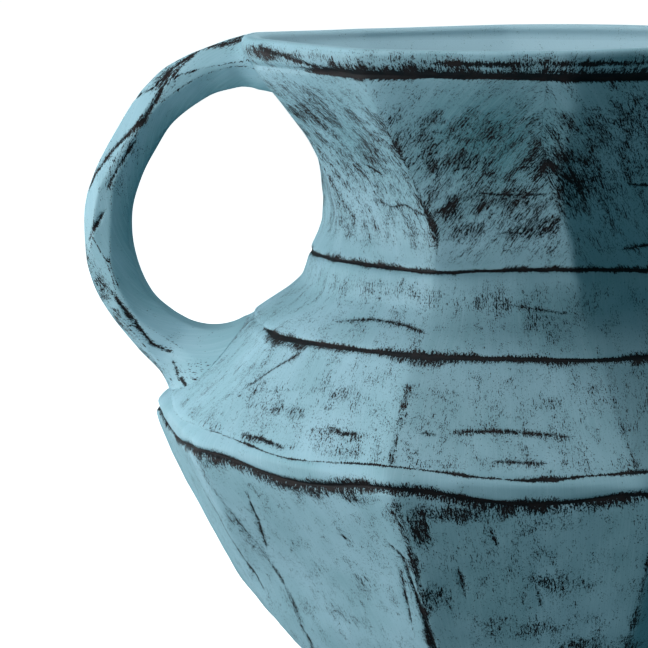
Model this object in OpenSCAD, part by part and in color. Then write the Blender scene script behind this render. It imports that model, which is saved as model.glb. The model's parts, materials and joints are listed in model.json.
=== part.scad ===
// Two-handled amphora, built up by hand from rings of clay and cut with a knife into ten uneven facets.
// Each ring stands on a half-lap of the ring below, and the handles are keyed into the wall with round
// tenons, with a fillet of slip round each end.
// Millimetres, +Z up. The origin is the centre of the foot, on the surface that the vase stands on.
// X runs from handle to handle.

/* [Body] */
// Height of the lip above the surface that the vase stands on
height = 311; // [290:1:330]
// Radius at the ridge, the widest place of the body
belly_r = 158; // [150:1:164]
// Thickness of the wall, square to its surface
wall = 9; // [8:0.5:11]
// Thickness of the disc that closes the bottom
floor_t = 8; // [6:1:10]

/* [Facets] */
// How flat the knife cuts are: 0 leaves the rings round, 1 cuts them fully
facet_depth = 1; // [0:0.1:1]
// How sharp the corner between two cuts is
corner_sharpness = 150; // [60:10:200]
// How far the seams between the rings wave up and down
seam_wave = 1; // [0:0.1:1.2]

/* [Joints] */
// Height of the half-lap between two rings
lap_h = 4; // [3:0.5:5]
// Depth of the V groove that is scored along each open seam
groove_depth = 1.6; // [0.5:0.1:2]
// Radius of the round tenons at the ends of a handle
tenon_r = 4.5; // [3.5:0.25:4.75]
// How far a tenon goes into the wall
tenon_length = 5.5; // [4:0.5:6]
// Gap for slip between a tenon and its socket
slip_gap = 0.2; // [0.1:0.05:0.4]
// Radius of the slip smoothed round a handle's upper end
top_fillet = 7; // [2:0.5:8]
// Radius of the slip smoothed round a handle's lower end
bottom_fillet = 17; // [4:0.5:18]

/* [Handles] */
// Thickness of the handle's bar, from the loop's inside to its outside
bar_thickness = 20.6; // [18:0.2:22]
// Width of the handle's bar, from front to back
bar_width = 21; // [18:0.5:24]

/* [Hidden] */

paint = [0.53, 0.68, 0.74];
shade = [0.42, 0.57, 0.63];
clay = [0.30, 0.27, 0.25];

// The outline below is drawn for this height and this belly, and is scaled to the two above.
drawn_height = 311;
drawn_belly_r = 158;
z_scale = height / drawn_height;
r_scale = belly_r / drawn_belly_r;

// Outline of the corners of the body, as [height, radius]
outline = [
    [0, 70], [8, 67], [20, 66], [30, 77], [45, 94], [60, 108.5], [76, 121], [90, 129.5], [104, 137],
    [118, 144], [131, 150.5], [144, 156.5], [149, 158], [154, 157.5], [158, 153.5], [170, 140], [185, 124],
    [192, 116.5], [197, 109.5], [203, 100], [208, 94.5], [214, 92.5], [220, 91.5], [226, 88.5], [232, 86.5],
    [241, 86.5], [250, 88], [259, 90.5], [267, 94.5], [275, 99.5], [283, 105.5], [290, 111], [297, 116],
    [302, 119.5], [306, 121.5], [311, 121]];

// Seams between the rings, from the foot up. Each height is the middle of a seam's wave.
foot_top = 20 * z_scale;
belly_joint = 50 * z_scale;
ridge = 149 * z_scale;
slip_seam = 157 * z_scale;
shoulder_top = 192.5 * z_scale;
collar_top = 221.5 * z_scale;
lip_base = 300 * z_scale;
seams = [foot_top, belly_joint, ridge, slip_seam, shoulder_top, collar_top, lip_base];

// The knife cuts: ten corners, drawn as if they were evenly spread, then moved a little each
facets = 10;
facet_width = 360 / facets;
corner_shift = [0, 2, -2, 1.5, -2.5, 2, -1, 2.5, -2, 1];
cut_lift = [0, 0.004, -0.006, 0.003, -0.004, 0.005, -0.003, 0.004, -0.005, 0.002];
// Cuts that go deeper somewhere: [facet, height of the deepest place, reach up and down, turn, share cut away]
deep_cuts = [[0, 90, 34, 8, 0.062], [4, 84, 34, 7, 0.055], [7, 92, 30, -7, 0.055],
             [9, 284, 27, -6, 0.030], [3, 282, 26, 5, 0.026], [6, 278, 26, -5, 0.028]];
// Columns of points over one facet, as shares of its width, crowded at its corner
columns = [0, 0.05, 0.22, 0.5, 0.78, 0.95];
// Angle of the first corner from the front towards -X, by height
corner_lean = [[0, 15], [100, 15.2], [132, 15.6], [148, 16.6], [158, 18.2], [180, 19.3], [205, 20.5],
               [234, 22.6], [257, 28.4], [275, 31], [311, 31]];
// How fully the body is cut into facets, by height
cut_share = [[0, 0.4], [20, 0.8], [60, 1], [150, 1], [157, 0.9], [188, 0.7], [194, 0.35], [215, 0.35],
             [222, 0.8], [250, 1], [285, 0.8], [300, 0.5], [311, 0.5]];

// Foot: the recess under the vase and the ledge that the disc lies on
recess_r = 54 * r_scale;
disc_r = 60 * r_scale;
ledge_z = foot_top - floor_t;
foot_bevel = 1.5;

// Lip: how far its top edge is rounded over, and how far that edge waves up and down
lip_round = 3;
lip_wave = 0.8;
lip_seam = 6;
// How far the points of the outline keep from a seam
seam_margin = 4.5;
// How far up and down the slope of the outline is measured, and the most that it widens a level cut
slope_reach = 4;
most_stretch = 1.6;
// Radius of the hole down the middle of the solids that only trim
core_r = 1;

// Middle line of the left handle's bar, as [distance from the axis, height]
handle_line = [[104, 297], [115, 298.8], [124, 298.2], [138, 293.3], [155.5, 280.7], [166, 266],
               [173.5, 250.5], [177.8, 231], [175.4, 211.5], [168, 194.3], [157.5, 183], [145, 174],
               [133, 165], [122, 157]];
// Thickness of the bar along that line, as a share of bar_thickness
handle_swell = [1.02, 1.02, 1.02, 1, 1, 1, 1, 1, 1, 1.02, 1.1, 1.25, 1.35, 1.4];
section_points = 16;
section_power = 0.72;
// The bar has a section every fine_step spans of handle_line near its ends, and every coarse_step between
fine_step = 0.25;
coarse_step = 0.5;
end_spans = 3;
// How full a fillet is at the wall, and how much of it the bar's outside has
fillet_fullness = 0.97;
outside_fillet = 0.1;
// How far to each side the direction of handle_line is measured, in spans
way_reach = 0.1;
// Where the tenons leave the wall, as [distance from the axis, height, angle below level]
top_tenon = [111.5, 295, 0];
bottom_tenon = [139.5, 170.5, 45];
tenon_root = 8;
round_fn = 48;

// Value at x of a list of [x, value] points, along straight lines
function along(points, x, i = 0) =
    i >= len(points) - 1 ? points[len(points) - 1][1] :
    x <= points[0][0] ? points[0][1] :
    x <= points[i + 1][0]
        ? points[i][1] + (points[i + 1][1] - points[i][1])
            * (x - points[i][0]) / (points[i + 1][0] - points[i][0])
        : along(points, x, i + 1);

// Middle of facet j, as an angle from the first corner
function facet_middle(j) =
    facet_width * (j + 0.5) + (corner_shift[j] + corner_shift[(j + 1) % facets]) / 2;

// How much of deep cut d facet j has at height z, from 0 to 1
function deepness(d, j, z) = d[0] == j ? exp(-pow((z / z_scale - d[1]) / d[2], 2)) : 0;

// Share of the corner radius left by the knife cuts at angle b from the first corner and height z
function cut(b, z) =
    let (reach = [for (j = [0:facets - 1])
            let (deep = [for (d = deep_cuts) deepness(d, j, z)],
                 turn = facet_middle(j) + deep * [for (d = deep_cuts) d[3]],
                 lift = 1 + cut_lift[j] - deep * [for (d = deep_cuts) d[4]],
                 c = cos(b - turn))
            c > 0 ? pow(c / (cos(facet_width / 2) * lift), corner_sharpness) : 0])
    pow(reach * [for (j = [0:facets - 1]) 1], -1 / corner_sharpness);

// Outer radius at angle b from the first corner and height z
function outer_r(b, z) =
    let (drawn_z = z / z_scale, share = facet_depth * along(cut_share, drawn_z))
    r_scale * along(outline, drawn_z) * (1 - share + share * cut(b, z));

// How much wider a level cut through the wall is than the wall's thickness, by the slope of the outline
function slope_stretch(z) =
    let (above = along(outline, (z + slope_reach) / z_scale),
         below = along(outline, (z - slope_reach) / z_scale))
    min(most_stretch, norm([1, (above - below) * r_scale / (2 * slope_reach)]));

function inner_r(b, z) = outer_r(b, z) - wall * slope_stretch(z);

// Angle from the front towards -X of a point at angle b from the first corner
function turned(b, z) = b + along(corner_lean, z / z_scale);

// Height of a seam at angle b: the two seams at the ridge follow the facets, and the rest wave slowly
function seam_z(k, b) =
    let (a = b + 18)
    seams[k] + seam_wave * (
        k == 2 ? 2.4 * cos(facets * b) :
        k == 3 ? 1.6 * cos(facets * b) :
        k == 4 ? 0.9 * cos(2 * a + 10) :
        k == 5 ? 2 * cos(2 * a + 10) + 0.8 * cos(5 * a + 80) : 0);

// A point of the body's surface in X, Y, Z
function place(b, r, z) = [-r * sin(turned(b, z)), -r * cos(turned(b, z)), z];

// Angles of the columns of points
column_angles = [for (j = [0:facets - 1], c = columns)
    facet_width * (j + c) + corner_shift[j] * (1 - c) + corner_shift[(j + 1) % facets] * c];

// Closed solid round the axis. loops[i] is the closed section at column i, as [r, z] points,
// and from point flip_at on, the faces are split along the other diagonal, so that two rings
// that meet along a waving seam are split alike.
module ring_solid(loops, flip_at) {
    n = len(loops);
    m = len(loops[0]);
    points = [for (i = [0:n - 1], p = loops[i]) place(column_angles[i], p[0], p[1])];
    faces = [for (i = [0:n - 1], j = [0:m - 1])
        let (i2 = (i + 1) % n, j2 = (j + 1) % m,
             p00 = i * m + j, p10 = i2 * m + j, p11 = i2 * m + j2, p01 = i * m + j2)
        each j < flip_at ? [[p00, p10, p11], [p00, p11, p01]] : [[p00, p10, p01], [p10, p11, p01]]];
    polyhedron(points, faces, convexity = 6);
}

// Heights between two seams at which the outline has a point, clear of the seams' waves
function levels(low, high) =
    [for (p = outline) let (z = p[0] * z_scale) if (z > low + seam_margin && z < high - seam_margin) z];

// Radius of the upright face of the half-lap at seam k
function lap_r(k, b) =
    let (z = seam_z(k, b) + lap_h / 2)
    (outer_r(b, z) + inner_r(b, z)) / 2;

// Outside of a ring of the wall at angle b, from seam low_k up to the height high. The edge at a
// scored seam is bevelled, which makes half of the groove.
function outside(low_k, high_k, b, high, top_bevel) =
    let (low = seam_z(low_k, b), low_bevel = low_k == 0 ? 0 : groove_depth)
    concat(
        [[outer_r(b, low) - low_bevel, low]],
        [[outer_r(b, low + groove_depth), low + groove_depth]],
        [for (z = levels(seams[low_k], seams[high_k])) [outer_r(b, z), z]],
        [[outer_r(b, high - top_bevel), high - top_bevel]],
        [[outer_r(b, high) - top_bevel, high]]);

// Inside of a ring at angle b, from the height high down to the half-lap of seam low_k
function inside(low_k, high_k, b, high) =
    let (low = seam_z(low_k, b) + (low_k == 0 ? 0 : lap_h))
    concat(
        [[inner_r(b, high), high]],
        [for (z = reversed(levels(seams[low_k] + lap_h, seams[high_k]))) [inner_r(b, z), z]],
        [[inner_r(b, low), low]]);

// Rebate under a ring, which fits over the spigot of the ring below. The lowest ring has none.
function rebate(k, b) =
    k == 0 ? [] : [[lap_r(k, b), seam_z(k, b) + lap_h], [lap_r(k, b), seam_z(k, b)]];

function reversed(list) = [for (i = [len(list) - 1:-1:0]) list[i]];

// One ring of the wall, from seam low_k to seam high_k, with a spigot on top
module wall_ring(low_k, high_k) {
    loops = [for (b = column_angles)
        let (high = seam_z(high_k, b))
        concat(
            outside(low_k, high_k, b, high, groove_depth),
            [[lap_r(high_k, b), high], [lap_r(high_k, b), high + lap_h]],
            inside(low_k, high_k, b, high + lap_h),
            rebate(low_k, b))];
    ring_solid(loops, len(loops[0]) - (low_k == 0 ? 0 : 3));
}

// The same ring without its inside, which trims the handles to the wall
module filled_ring(low_k, high_k) {
    loops = [for (b = column_angles)
        let (high = seam_z(high_k, b))
        concat(
            outside(low_k, high_k, b, high, groove_depth),
            [[core_r, high], [core_r, seam_z(low_k, b)]])];
    ring_solid(loops, len(loops[0]) - 1);
}

// Outside of the lip, whose top edge waves a little and is rounded
function lip_outside(b) =
    let (top = lip_z(b))
    concat(
        outside(lip_seam, lip_seam, b, top - lip_round, 0),
        [[outer_r(b, top) - lip_round / 3, top - lip_round / 3], [outer_r(b, top) - lip_round, top]]);

function lip_z(b) = height - lip_wave * (1 + cos(3 * b + 40));

module lip_ring() {
    loops = [for (b = column_angles)
        let (top = lip_z(b))
        concat(
            lip_outside(b),
            [[inner_r(b, top) + lip_round, top]],
            [[inner_r(b, top - lip_round), top - lip_round]],
            [[inner_r(b, seam_z(lip_seam, b) + lap_h), seam_z(lip_seam, b) + lap_h]],
            rebate(lip_seam, b))];
    color(paint) ring_solid(loops, len(loops[0]) - 3);
}

module filled_lip() {
    loops = [for (b = column_angles)
        concat(lip_outside(b), [[core_r, lip_z(b)], [core_r, seam_z(lip_seam, b)]])];
    ring_solid(loops, len(loops[0]) - 1);
}

// The turned-out ring that the vase stands on, with a ledge inside for the disc
module foot_ring() {
    loops = [for (b = column_angles) [
        [core_r, 0], [outer_r(b, 0) - foot_bevel, 0], [outer_r(b, foot_bevel), foot_bevel],
        [outer_r(b, foot_top / 2), foot_top / 2], [outer_r(b, foot_top), foot_top], [core_r, foot_top]]];
    color(shade) difference() {
        ring_solid(loops, len(loops[0]));
        translate([0, 0, -1]) cylinder(r = recess_r, h = foot_top + 2, $fn = round_fn);
        translate([0, 0, ledge_z]) cylinder(r = disc_r, h = foot_top, $fn = round_fn);
    }
}

// The disc that closes the bottom. It lies on the foot's ledge, under the lower belly.
module base_disc() {
    color(clay) translate([0, 0, ledge_z]) cylinder(r = disc_r, h = floor_t, $fn = round_fn);
}

module lower_belly() { color(paint) wall_ring(0, 1); }

module upper_belly() { color(paint) wall_ring(1, 2); }

module shoulder_band() { color(shade) wall_ring(2, 3); }

// The shoulder has the sockets of the handles' lower tenons
module shoulder_ring() {
    color(paint) difference() {
        wall_ring(3, 4);
        for (side = [0, 1]) mirror([side, 0, 0]) tenon(bottom_tenon, slip_gap);
    }
}

module collar_ring() { color(shade) wall_ring(4, 5); }

// The neck has the sockets of the handles' upper tenons
module neck() {
    color(paint) difference() {
        wall_ring(5, 6);
        for (side = [0, 1]) mirror([side, 0, 0]) tenon(top_tenon, slip_gap);
    }
}

// Point of a smooth curve through the list p, t spans from its start
function on_curve(p, t) =
    let (i = min(len(p) - 2, floor(t)), u = t - i,
         a = p[max(0, i - 1)], b = p[i], c = p[i + 1], d = p[min(len(p) - 1, i + 2)])
    0.5 * (2 * b + (c - a) * u + (2 * a - 5 * b + 4 * c - d) * u * u + (3 * b - a - 3 * c + d) * u * u * u);

function signed_power(x, p) = sign(x) * pow(abs(x), p);

// Point of the bar, as [distance out to the handle's side, across, height]. out is square to the bar's way.
function bar_point(middle, way, out, across) =
    [(middle[0] - way[1] * out) * r_scale, across, (middle[1] + way[0] * out) * z_scale];

// How far a point of the bar stands out of the wall, level with it
function over_wall(p) =
    norm([p[0], p[1]]) - outer_r(atan2(p[0], -p[1]) - along(corner_lean, p[2] / z_scale), p[2]);

// Point of the bar moved outwards by the fillet between it and the wall. t is its place along handle_line.
function filleted_point(t, middle, way, out, across) =
    let (plain = bar_point(middle, way, out, across),
         height = over_wall(plain),
         size = t < end_spans ? top_fillet : bottom_fillet,
         near = max(0, 1 - max(0, height) / slope_stretch(plain[2]) / size),
         girth = norm([out, across]),
         full = size * (1 - (1 - outside_fillet) * max(0, out / girth)),
         flare = 1 + full * (1 - sqrt(1 - fillet_fullness * near * near)) / girth,
         wide = bar_point(middle, way, out * flare, across * flare),
         reach = norm([wide[0], wide[1]]),
         moved = 1 + near * (height - over_wall(wide)) / reach)
    [-wide[0] * moved, wide[1] * moved, wide[2]];

// The bar of the left handle: a squarish section swept along handle_line, from the lip to the shoulder
module bar() {
    spans = len(handle_line) - 1;
    stations = concat(
        [for (t = [0:fine_step:end_spans]) t],
        [for (t = [end_spans + coarse_step:coarse_step:spans - end_spans - coarse_step]) t],
        [for (t = [spans - end_spans:fine_step:spans]) t]);
    points = [for (t = stations)
        let (here = on_curve(handle_line, t),
             ahead = on_curve(handle_line, min(spans, t + way_reach)),
             behind = on_curve(handle_line, max(0, t - way_reach)),
             way = (ahead - behind) / norm(ahead - behind),
             swell = on_curve(handle_swell, t) / 2)
        for (k = [0:section_points - 1])
        let (turn = 360 * k / section_points)
        filleted_point(t, here, way,
                       signed_power(cos(turn), section_power) * bar_thickness * swell,
                       signed_power(sin(turn), section_power) * bar_width * swell)];
    n = section_points;
    last = len(stations) - 1;
    sides = [for (s = [0:last - 1], k = [0:n - 1])
        let (k2 = (k + 1) % n, a = s * n + k, b = s * n + k2)
        each [[a, a + n, b], [b, a + n, b + n]]];
    caps = [[for (k = [0:n - 1]) k], [for (k = [n - 1:-1:0]) last * n + k]];
    polyhedron(points, concat(sides, caps), convexity = 6);
}

// Round tenon on the -X side, which runs square into the wall. gap widens it into its socket.
module tenon(spot, gap) {
    translate([-spot[0] * r_scale, 0, spot[1] * z_scale]) rotate([0, 90 + spot[2], 0])
        translate([0, 0, -tenon_root])
            cylinder(r = tenon_r + gap, h = tenon_root + tenon_length + gap, $fn = round_fn);
}

// The left handle: its bar ends at the wall's outside, and its tenons go on into the wall
module handle() {
    union() {
        difference() {
            bar();
            for (k = [1:lip_seam - 1]) filled_ring(k, k + 1);
            filled_lip();
        }
        tenon(top_tenon, 0);
        tenon(bottom_tenon, 0);
    }
}

module left_handle() { color(paint) handle(); }

module right_handle() { color(paint) mirror([1, 0, 0]) handle(); }

foot_ring();
base_disc();
lower_belly();
upper_belly();
shoulder_band();
shoulder_ring();
collar_ring();
neck();
lip_ring();
left_handle();
right_handle();
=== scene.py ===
"""A hand-hewn two-handled amphora in worn blue paint, built as the same eleven pieces as its CAD frame."""

import json
import math

import bpy
import numpy as np
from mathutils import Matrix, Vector

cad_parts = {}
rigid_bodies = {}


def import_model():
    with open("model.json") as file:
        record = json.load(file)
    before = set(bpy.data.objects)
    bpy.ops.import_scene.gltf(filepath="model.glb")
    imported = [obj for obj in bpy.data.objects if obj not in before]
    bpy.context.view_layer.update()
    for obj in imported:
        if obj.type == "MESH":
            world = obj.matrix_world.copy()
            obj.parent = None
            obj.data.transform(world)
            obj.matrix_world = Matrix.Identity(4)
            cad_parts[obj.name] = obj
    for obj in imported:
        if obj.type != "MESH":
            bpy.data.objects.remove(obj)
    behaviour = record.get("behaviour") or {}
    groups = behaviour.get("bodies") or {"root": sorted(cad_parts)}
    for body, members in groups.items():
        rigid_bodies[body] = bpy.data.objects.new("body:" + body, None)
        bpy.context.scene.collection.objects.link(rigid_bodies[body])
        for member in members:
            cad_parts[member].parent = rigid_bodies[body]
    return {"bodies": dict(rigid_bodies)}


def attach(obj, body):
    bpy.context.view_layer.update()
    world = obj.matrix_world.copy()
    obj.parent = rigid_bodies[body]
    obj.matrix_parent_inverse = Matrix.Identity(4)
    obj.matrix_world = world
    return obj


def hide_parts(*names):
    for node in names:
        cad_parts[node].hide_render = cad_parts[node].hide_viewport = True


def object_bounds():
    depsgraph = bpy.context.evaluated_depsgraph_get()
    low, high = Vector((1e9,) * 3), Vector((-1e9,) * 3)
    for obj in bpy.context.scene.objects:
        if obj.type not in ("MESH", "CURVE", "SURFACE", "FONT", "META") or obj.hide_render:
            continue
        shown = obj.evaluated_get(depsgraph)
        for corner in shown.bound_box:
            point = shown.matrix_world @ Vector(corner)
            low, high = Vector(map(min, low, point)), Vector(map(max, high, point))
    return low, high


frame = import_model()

CAD_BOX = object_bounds()
BODY = next(iter(frame["bodies"]))

# Shapes are drawn in millimetres for a lip this high, and MM turns one of them into the frame's metres.
DRAWN_HEIGHT = 311.0
MM = (CAD_BOX[1].z - CAD_BOX[0].z) / DRAWN_HEIGHT

# ---------------------------------------------------------------------------------------------------
# The body: an outline of corners, turned round the axis and cut by a knife into ten facets
# ---------------------------------------------------------------------------------------------------

# Outline of the corners of the body, as (height, radius)
OUTLINE = [
    (0, 70), (8, 67), (20, 66), (30, 77), (45, 94), (60, 108.5), (76, 121), (90, 129.5), (104, 137),
    (118, 144), (131, 150.5), (144, 156.5), (149, 158), (154, 157.5), (158, 153.5), (170, 140),
    (185, 124), (192, 116.5), (197, 109.5), (203, 100), (208, 94.5), (214, 92.5), (220, 91.5),
    (226, 88.5), (232, 86.5), (241, 86.5), (250, 88), (259, 90.5), (267, 94.5), (275, 99.5),
    (283, 105.5), (290, 111), (297, 116), (302, 119.5), (306, 121.5), (311, 121)]
# Length over which the outline's points are softened into a curve
OUTLINE_SOFTNESS = 1.2

FACETS = 10
FACET_WIDTH = 360 / FACETS
SHARPNESS = 150
# How far each corner stands from an even turn, in degrees, and how far out each facet lies
CORNER_SHIFT = [0, 2, -2, 1.5, -2.5, 2, -1, 2.5, -2, 1]
CUT_LIFT = [0, 0.004, -0.006, 0.003, -0.004, 0.005, -0.003, 0.004, -0.005, 0.002]
# How far the corners lean round the axis, in degrees, by height
CORNER_LEAN = [(0, 15), (100, 15.2), (132, 15.6), (148, 16.6), (158, 18.2), (180, 19.3), (205, 20.5),
               (234, 22.6), (257, 28.4), (275, 31), (311, 31)]
# How much of a facet's cut is there, by height: 0 leaves the wall round
CUT_SHARE = [(0, 0.4), (20, 0.8), (60, 1), (150, 1), (157, 0.9), (188, 0.7), (194, 0.35), (215, 0.35),
             (222, 0.8), (250, 1), (285, 0.8), (300, 0.5), (311, 0.5)]

# Facets that are cut deeper somewhere: facet, height of the deepest place, reach, turn and share cut away
DEEP_CUTS = [(0, 90, 34, 8, 0.062), (4, 84, 34, 7, 0.055), (7, 92, 30, -7, 0.055),
             (9, 284, 27, -6, 0.030), (3, 282, 26, 5, 0.026), (6, 278, 26, -5, 0.028)]

# Thickness of the wall, height of the half-laps and radius of the lip's edge
WALL = 9.0
LAP = 4.0
LIP_ROUND = 3.0
# The most that a slope widens a level cut through the wall
MOST_STRETCH = 1.6

# The seams between the pieces, from the foot up, and their heights
FOOT_TOP, BELLY_JOINT, RIDGE, SLIP_SEAM, SHOULDER_TOP, COLLAR_TOP, LIP_BASE = range(7)
SEAMS = [20, 50, 149, 157, 192.5, 221.5, 300]


def along(points, x):
    """Value at x of a list of (x, value) points, along straight lines."""
    xs, values = zip(*points)
    return np.interp(x, xs, values)


def bell(x, width):
    """1 at x = 0, falling off on both sides over the width."""
    return np.exp(-(x / width) ** 2)


def softened_outline():
    """The outline with its corners smoothed over, as heights and radii."""
    step, margin = 0.25, 12
    heights = np.arange(-margin, DRAWN_HEIGHT + margin, step)
    reach = np.arange(-3 * OUTLINE_SOFTNESS, 3 * OUTLINE_SOFTNESS + step, step)
    weights = np.exp(-0.5 * (reach / OUTLINE_SOFTNESS) ** 2)
    return heights, np.convolve(along(OUTLINE, heights), weights / weights.sum(), "same")


OUTLINE_TABLE = softened_outline()


def corner_radius(z):
    return np.interp(z, *OUTLINE_TABLE)


def facet_middle(j):
    """Angle from the first corner of the middle of facet j."""
    return FACET_WIDTH * (j + 0.5) + (CORNER_SHIFT[j] + CORNER_SHIFT[(j + 1) % FACETS]) / 2


def cut(b, z):
    """Share of the corner radius left by the knife at angle b (degrees) from the first corner."""
    total = 0
    for j in range(FACETS):
        turn, lift = facet_middle(j), 1 + CUT_LIFT[j]
        for facet, middle, span, extra_turn, depth in DEEP_CUTS:
            if facet == j:
                turn = turn + extra_turn * bell(z - middle, span)
                lift = lift - depth * bell(z - middle, span)
        reach = np.cos(np.radians(b - turn)).clip(0) / (math.cos(math.radians(FACET_WIDTH / 2)) * lift)
        total = total + reach ** SHARPNESS
    return total ** (-1 / SHARPNESS)


def outer_radius(b, z):
    """Radius of the outside of the wall at angle b from the first corner."""
    share = along(CUT_SHARE, z)
    return corner_radius(z) * (1 - share + share * cut(b, z))


def slope_stretch(z):
    """How much wider a level cut through the wall is than the wall, by the slope of the outline."""
    reach = 4.0
    rise = (corner_radius(z + reach) - corner_radius(z - reach)) / (2 * reach)
    return np.minimum(MOST_STRETCH, np.hypot(1, rise))


def inner_radius(b, z):
    return outer_radius(b, z) - WALL * slope_stretch(z)


def turned(b, z):
    """Angle from the front towards -X of a point at angle b from the first corner."""
    return b + along(CORNER_LEAN, z)


def wave_cos(angle):
    return np.cos(np.radians(angle))


def seam_height(k, b):
    """Height of a seam at angle b: the two at the ridge follow the facets, the rest wave slowly."""
    a = b + 18
    wave = {
        RIDGE: 2.4 * wave_cos(FACETS * b),
        SLIP_SEAM: 1.6 * wave_cos(FACETS * b),
        SHOULDER_TOP: 0.9 * wave_cos(2 * a + 10),
        COLLAR_TOP: 2 * wave_cos(2 * a + 10) + 0.8 * wave_cos(5 * a + 80),
    }
    return SEAMS[k] + wave.get(k, np.zeros_like(b))


def lip_height(b):
    return DRAWN_HEIGHT - 0.8 * (1 + wave_cos(3 * b + 40))


def waviness(points, length, seed, count=24):
    """Smooth seeded waves over points, from about -1 to 1, each about length across."""
    rng = np.random.default_rng(seed)
    ways = rng.normal(size=(count, 3))
    frequency = (2 * math.pi / length) * rng.uniform(0.7, 1.4, (count, 1))
    ways *= frequency / np.linalg.norm(ways, axis=1)[:, None]
    phases = rng.uniform(0, 2 * math.pi, count)
    return np.sin(points @ ways.T + phases).sum(1) / math.sqrt(2 * count)


# ---------------------------------------------------------------------------------------------------
# Where the paint is worn through
# ---------------------------------------------------------------------------------------------------

# How each seam shows: half width of the bare line, and how far ragged hairs reach below and above it
SEAM_WEAR = {
    FOOT_TOP: (0.6, 2.0, 2.0),
    BELLY_JOINT: (-0.5, 1.8, 1.8),
    RIDGE: (0.1, 6.0, 2.6),
    SLIP_SEAM: (-0.12, 1.2, 1.6),
    SHOULDER_TOP: (0.2, 3.4, 2.2),
    COLLAR_TOP: (0.15, 1.8, 2.6),
    LIP_BASE: (0.8, 2.0, 6.0),
}
# How strongly the seams show, by angle: they are smoothed over at the handles
SEAM_FADE = {
    SLIP_SEAM: [(0, 1), (44, 1), (56, 0.25), (124, 0.25), (136, 1)],
    SHOULDER_TOP: [(0, 1), (60, 1), (72, 0.15), (108, 0.15), (118, 1)],
    LIP_BASE: [(0, 1), (36, 1), (50, 0.25), (60, 0), (120, 0), (130, 0.25), (144, 1)],
}
# Depth of the groove scored along each seam, and its half width
GROOVE_DEPTH = {
    FOOT_TOP: 0.6,
    BELLY_JOINT: 0.5,
    RIDGE: 1.8,
    SLIP_SEAM: 0.9,
    SHOULDER_TOP: 1.7,
    COLLAR_TOP: 1.6,
    LIP_BASE: 1.4,
}
GROOVE_WIDTH = 1.3
# Seams whose bare line breaks off here and there
BROKEN_SEAMS = (SLIP_SEAM, BELLY_JOINT)
# A seam's line is bare in its core, which ends over a soft edge, and less so in the hairs beside it
CORE_BARENESS = 1.15
CORE_EDGE = 0.9
HAIR_BARENESS = 0.60
# Lengths of the slow and the quick waves that make seams uneven, and the radius that they are laid over
SLOW_WAVE, QUICK_WAVE = 60, 17
WAVE_RADIUS = 100.0
SEAM_SEED = 31

# How strongly the corners between the facets are worn, by height, and the half width of that wear
CORNER_WEAR = [
    (0, 0.3), (60, 0.5), (95, 0.56), (108, 0.4), (122, 0.56), (130, 0.35), (146, 0.45), (149, 0),
    (157, 0), (160, 0.42), (172, 0.36), (182, 0.38), (190, 0), (228, 0), (233, 0.45), (240, 0.66),
    (247, 0.42), (262, 0.38), (270, 0.5), (281, 0.3), (288, 0.0), (311, 0)]
CORNER_WEAR_WIDTH = 2.4
# How worn each corner is on the neck and lip, and below them
UPPER_CORNERS = [1, 0.35, 0.8, 0.4, 0.9, 0.5, 0.35, 0.9, 0.4, 0.3]
LOWER_CORNERS = [1, 0.7, 0.8, 0.9, 0.6, 1, 0.8, 0.6, 0.9, 0.75]

# Scuffed areas, as (angle, height, half width in degrees, half height, amount)
SCUFFS = [
    # The neck and the lip
    (56, 282, 30, 20, 0.38), (42, 266, 14, 18, 0.38), (36, 253, 10, 9, 0.36), (28, 240, 10, 6, 0.26),
    (23, 264, 4, 9, 0.46), (14, 266, 5, 7, 0.58), (9, 264, 4, 8, 0.48), (-5, 266, 11, 12, 0.52),
    (-13, 258, 10, 18, 0.49), (19, 247, 4, 9, 0.56), (12, 250, 8, 9, 0.42), (2, 252, 13, 9, 0.45),
    (-2, 241, 14, 9, 0.45), (14, 238, 9, 8, 0.40), (60, 305.5, 10, 4, 0.52), (-20, 296, 12, 5, 0.30),
    # The collar and the shoulder
    (34, 214, 20, 5, 0.32), (6, 212, 12, 8, 0.34), (-6, 205, 8, 8, 0.34), (14, 204, 6, 6, 0.22),
    (50, 174, 10, 9, 0.30), (32, 178, 9, 5, 0.28), (28, 166, 9, 4, 0.32), (12, 182, 9, 5, 0.25),
    (42, 188, 8, 4, 0.2), (24, 160.5, 8, 2.5, 0.30), (-6, 180, 6, 7, 0.28), (6, 162, 9, 3, 0.2),
    (41, 170, 9, 4, 0.36),
    # The belly
    (10, 142, 12, 5, 0.42), (-4, 138, 9, 6, 0.34), (-8, 112, 7, 7, 0.36), (13, 106, 4, 9, 0.40),
    (2, 118, 14, 26, 0.24), (-2, 92, 12, 8, 0.34), (-12, 84, 8, 8, 0.40), (24, 145, 5, 4, 0.46),
    (14.2, 134, 3, 9, 0.46), (14, 105, 3, 8, 0.52), (-4.5, 113, 4, 4, 0.46), (44, 140, 8, 6, 0.22),
    (40, 118, 4, 6, 0.24), (28, 104, 5, 8, 0.30), (54, 112, 4, 14, 0.36), (36, 84, 10, 8, 0.26),
    (68, 130, 10, 16, 0.12),
]
# Scuffing everywhere, by height
BASE_SCUFF = [
    (0, 0.2), (60, 0.15), (146, 0.15), (149, 0.0), (157, 0.0), (159, 0.20), (188, 0.18), (194, 0.16),
    (216, 0.20), (222, 0.04), (232, 0.22), (258, 0.32), (282, 0.32), (290, 0.16), (300, 0.20),
    (306, 0.30), (311, 0.0)]
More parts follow.
